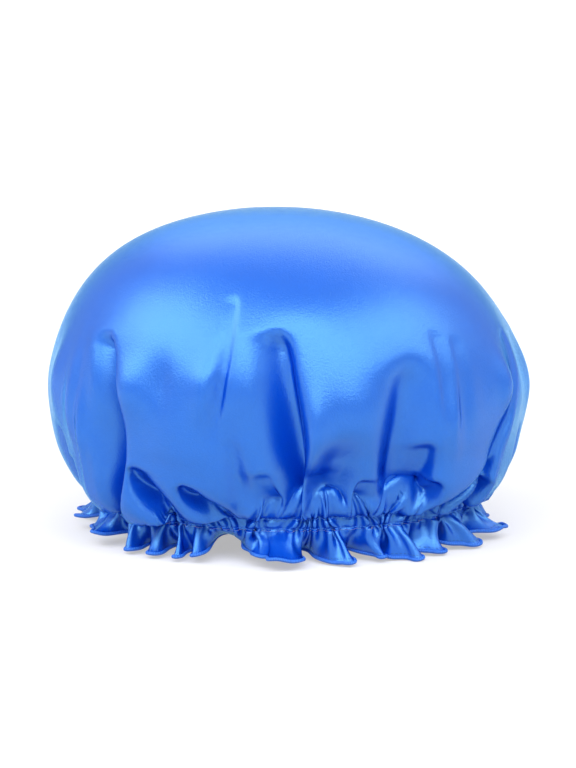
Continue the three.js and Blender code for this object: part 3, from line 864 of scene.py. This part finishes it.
rows, run, z = elastic_rows()
elastic_points, elastic_faces = quad_rows(rows)
columns = rows.shape[1]
first_end = columns * np.arange(rows.shape[0] - 1)
elastic_ends = [first_end[::-1].tolist(), (first_end + columns - 1).tolist()]
elastic_faces = elastic_faces.tolist() + elastic_ends
elastic_cloth = np.stack(np.broadcast_arrays(run, z[:, None]), -1).reshape(-1, 2) * MM
elastic = mesh_piece("braided_elastic", elastic_points, elastic_faces, elastic_cloth)
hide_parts("elastic_band")

# Cut cloth
CROWN_CUT, LINING_CUT = 2 * S_FRILL * MM, 1.88 * S_BAND * MM  # across, the lining less full
math.pi / 4 * CROWN_CUT**2
math.pi / 4 * LINING_CUT**2


# Materials
def plug_in(tree, plug, value):
    """Link a wire to a socket, or set the socket to a value."""
    if isinstance(value, Wire):
        tree.links.new(value.socket, plug)
    else:
        plug.default_value = value


def compute(tree, operation, *values):
    """A Math node's result."""
    node = tree.nodes.new("ShaderNodeMath")
    node.operation = operation
    for plug, value in zip(node.inputs, values):
        plug_in(tree, plug, value)
    return Wire(tree, node.outputs[0])


class Wire:
    """A shader value. Arithmetic on wires makes Math nodes."""

    def __init__(self, tree, socket):
        self.tree, self.socket = tree, socket

    def math(self, operation, *others):
        return compute(self.tree, operation, self, *others)

    def output(self, name):
        """Another output of the same node."""
        return Wire(self.tree, self.socket.node.outputs[name])

    def __add__(self, other):
        return self.math("ADD", other)

    def __mul__(self, other):
        return self.math("MULTIPLY", other)

    def __sub__(self, other):
        return self.math("SUBTRACT", other)

    def __rsub__(self, other):
        return compute(self.tree, "SUBTRACT", other, self)

    __radd__, __rmul__ = __add__, __mul__


class Tree:
    """A node tree. One method makes any node from its type, its settings, and the values or wires of its
    inputs by name, or by number after an underscore."""

    def __init__(self, tree):
        self.tree = tree

    def node(self, kind, output=0, settings=(), **inputs):
        made = self.tree.nodes.new("ShaderNode" + kind)
        for key, value in dict(settings).items():
            setattr(made, key, value)
        for key, value in inputs.items():
            plug = made.inputs[int(key[1:])] if key[0] == "_" else made.inputs[key.replace("_", " ")]
            plug_in(self.tree, plug, value)
        return Wire(self.tree, made.outputs[output])

    def mix(self, share, first, second):
        return self.node("Mix", 2, {"data_type": "RGBA"}, _0=share, _6=first, _7=second)

    def background_rays(self):
        """1 for the rays that show the background: the camera's, and those that gloss and clear things
        send on."""
        seen = self.node("LightPath", "Is Camera Ray")
        return seen + seen.output("Is Glossy Ray") + seen.output("Is Transmission Ray")


class Look(Tree):
    """A material and its tree."""

    def __init__(self, name):
        self.material = bpy.data.materials.new(name)
        self.material.use_nodes = True
        super().__init__(self.material.node_tree)
        self.shader = self.tree.nodes["Principled BSDF"]

    def cloth(self):
        """The cloth's own places in metres, along and down."""
        along = self.node("SeparateXYZ", "X", Vector=self.node("UVMap", settings={"uv_map": "cloth"}))
        return along, along.output("Y")

    def surface(self, **inputs):
        """The material, with values or wires on its shader's sockets."""
        for key, value in inputs.items():
            plug_in(self.tree, self.shader.inputs[key.replace("_", " ")], value)
        return self.material


def color(red, green, blue):
    """Display values of 0 to 255 as a linear colour."""
    v = np.array([red, green, blue]) / 255
    linear = np.where(v <= 0.04045, v / 12.92, ((v + 0.055) / 1.055) ** 2.4)
    return (*linear.tolist(), 1)


SMOOTHLY = {"interpolation_type": "SMOOTHSTEP"}
HOLE_PITCH, HOLE_HALF = 0.0024, 0.00022  # of the overlock's needle holes, in metres
HOLE_LINE = (FRILL - 2.9) * MM  # how far down the frill they lie


def satin_look(name, low, high, rough, gloss, hem_line=False):
    """Satin: a fine uneven grain along the threads breaks the sheen up into sparks. Seen aslant, its threads
    show their sides, so its gloss takes on the cloth's colour. A hem line adds the needle holes over the
    overlock."""
    look = Look(name)
    place = look.node("TexCoord", "Object")
    grain = look.node("TexNoise", "Fac", Vector=place, Scale=900.0, Detail=3.0, Roughness=0.7)
    cloud = look.node("TexNoise", "Fac", Vector=place, Scale=45.0, Detail=3.0)
    facing = look.node("LayerWeight", "Facing", Blend=0.5)
    aslant = look.node("MapRange", "Result", SMOOTHLY, Value=facing, From_Min=0.3, From_Max=1.0)
    tone = look.mix(0.5 * grain + 0.4 * cloud, color(*low), color(*high))
    height = grain
    if hem_line:
        along, down = look.cloth()
        dash = (along * (1 / HOLE_PITCH)).math("FRACT").math("LESS_THAN", 0.5)
        hole = dash * (down - HOLE_LINE).math("ABSOLUTE").math("LESS_THAN", HOLE_HALF)
        tone = look.mix(hole, tone, color(8, 48, 150))
        height = grain - hole * 1.5
    bump = look.node("Bump", "Normal", Height=height, Strength=0.6, Distance=0.0004)
    return look.surface(
        Base_Color=tone,
        Roughness=rough + 0.08 * grain,
        Metallic=0.12 + 0.7 * aslant,
        IOR=1.8,
        Specular_IOR_Level=gloss,
        Specular_Tint=(0.34, 0.93, 1.0, 1),
        Normal=bump,
    )


def stripes(wire, pitch):
    """A sine from 0 to 1 with a pitch in metres."""
    return (wire * (TURN / pitch)).math("SINE") * 0.5 + 0.5


def thread_look(name, low, high, pitch, slant, depth):
    """Thread laid side by side: slanting stripes along the piece's cloth places."""
    look = Look(name)
    along, down = look.cloth()
    wrap = stripes(along + down * slant, pitch)
    fuzz = look.node("TexNoise", "Fac", Vector=look.node("TexCoord", "Object"), Scale=2200.0, Detail=2.0)
    bump = look.node("Bump", "Normal", Height=wrap + 0.3 * fuzz, Strength=0.9, Distance=depth)
    return look.surface(
        Base_Color=look.mix(0.75 * wrap + 0.3 * fuzz, color(*low), color(*high)),
        Roughness=0.42 + 0.2 * fuzz,
        IOR=1.5,
        Specular_IOR_Level=0.4,
        Normal=bump,
    )


def spun_look(name, low, high):
    """Spun sewing thread without cloth places: a fuzzy twist from noise."""
    look = Look(name)
    fuzz = look.node("TexNoise", "Fac", Vector=look.node("TexCoord", "Object"), Scale=1600.0, Detail=3.0)
    bump = look.node("Bump", "Normal", Height=fuzz, Strength=0.8, Distance=0.0001)
    return look.surface(
        Base_Color=look.mix(fuzz, color(*low), color(*high)),
        Roughness=0.45 + 0.15 * fuzz,
        Specular_IOR_Level=0.4,
        Normal=bump,
    )


def weave_look(name, low, high, across, up, rough):
    """Plain or braided weave: threads crossing at two pitches in metres."""
    look = Look(name)
    along, down = look.cloth()
    one, two = stripes(along + down, across), stripes(down - along * (across / up), up)
    over = one * (1 - two) + two * (1 - one)
    bump = look.node("Bump", "Normal", Height=over, Strength=0.8, Distance=0.00012)
    return look.surface(
        Base_Color=look.mix(over, color(*low), color(*high)),
        Roughness=rough + 0.1 * over,
        Specular_IOR_Level=0.3,
        Normal=bump,
    )


SATIN = (0, 66, 192), (1, 86, 224), 0.13, 0.85
satin = satin_look("satin", *SATIN)
hemmed_satin = satin_look("hemmed_satin", *SATIN, hem_line=True)
lining_satin = satin_look("lining_satin", (6, 72, 188), (14, 90, 208), 0.4, 0.3)
overlock = thread_look("overlock_thread", (22, 88, 214), (70, 148, 248), 0.0011, 0.4, 0.0002)
spun_thread = spun_look("spun_thread", (40, 112, 228), (84, 158, 250))
tape_weave = weave_look("tape_weave", (30, 92, 204), (52, 122, 236), 0.0006, 0.0005, 0.6)
elastic_braid = weave_look("elastic_braid", (198, 198, 194), (236, 236, 232), 0.0013, 0.001, 0.7)
for piece, look in (
    (crown, satin),
    (frill, hemmed_satin),
    (lining, lining_satin),
    (hem, overlock),
    (upper_stitches, spun_thread),
    (lower_stitches, spun_thread),
    (tape, tape_weave),
    (elastic, elastic_braid),
):
    piece.data.materials.append(look)
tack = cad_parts["elastic_lap_tack"]
tack.data.materials.clear()
tack.data.materials.append(spun_thread)

# Floor, light and background
floor_mesh = bpy.data.meshes.new("floor")
floor_mesh.from_pydata([(-6, -6, 0), (6, -6, 0), (6, 6, 0), (-6, 6, 0)], [], [(0, 1, 2, 3)])
floor = bpy.data.objects.new("floor", floor_mesh)
scene.collection.objects.link(floor)
paper = Look("floor_paper")
spot = paper.node("TexCoord", "Object")
speck = paper.node("TexNoise", "Fac", Vector=spot, Scale=40.0)
away = paper.node("VectorMath", "Value", {"operation": "LENGTH"}, _0=spot)
edge = paper.node("MapRange", "Result", SMOOTHLY, Value=away, From_Min=0.25, From_Max=1.2)
lit = paper.mix(edge, (0.45, 0.45, 0.45, 1), (1, 1, 1, 1))
floor_mesh.materials.append(
    paper.surface(
        Base_Color=paper.mix(speck, (0.55, 0.55, 0.55, 1), (0.57, 0.57, 0.57, 1)),
        Roughness=0.9,
        Specular_IOR_Level=0.0,
        Emission_Color=paper.mix(paper.background_rays(), (0, 0, 0, 1), lit),
        Emission_Strength=1.0,
    )
)


LAMP_AWAY, LAMP_AIM = 1.6, Vector((0, 0, 0.1))


def softbox(name, azimuth, elevation, size, radiance):
    """A rectangular lamp that looks at the bonnet, with its azimuth in degrees right of the front."""
    light = bpy.data.lights.new(name, "AREA")
    light.shape = "RECTANGLE"
    light.size, light.size_y = size
    light.energy = radiance * math.pi * size[0] * size[1]
    box = bpy.data.objects.new(name, light)
    scene.collection.objects.link(box)
    a, e = math.radians(azimuth), math.radians(elevation)
    out = Vector((math.sin(a) * math.cos(e), -math.cos(a) * math.cos(e), math.sin(e)))
    box.location = LAMP_AIM + out * LAMP_AWAY
    box.rotation_euler = out.to_track_quat("Z", "Y").to_euler()


softbox("front_light", 2, 42, (1.9, 0.95), 3.2)
softbox("left_light", -72, 40, (1.4, 1.0), 3.0)
softbox("right_light", 74, 42, (1.3, 0.8), 2.4)
softbox("back_light", 172, 44, (1.6, 1.0), 1.2)
world = bpy.data.worlds.new("studio")
scene.world = world
world.use_nodes = True
sky = Tree(world.node_tree)
upward = sky.node("SeparateXYZ", "Z", Vector=sky.node("TexCoord", "Generated"))
fill = upward.math("MAXIMUM", 0.0) * 0.7 + 0.05
background = sky.tree.nodes["Background"].inputs
background["Color"].default_value = (1, 1, 1, 1)
plug_in(sky.tree, background["Strength"], fill.math("MAXIMUM", sky.background_rays()))
scene.view_settings.view_transform = "Standard"
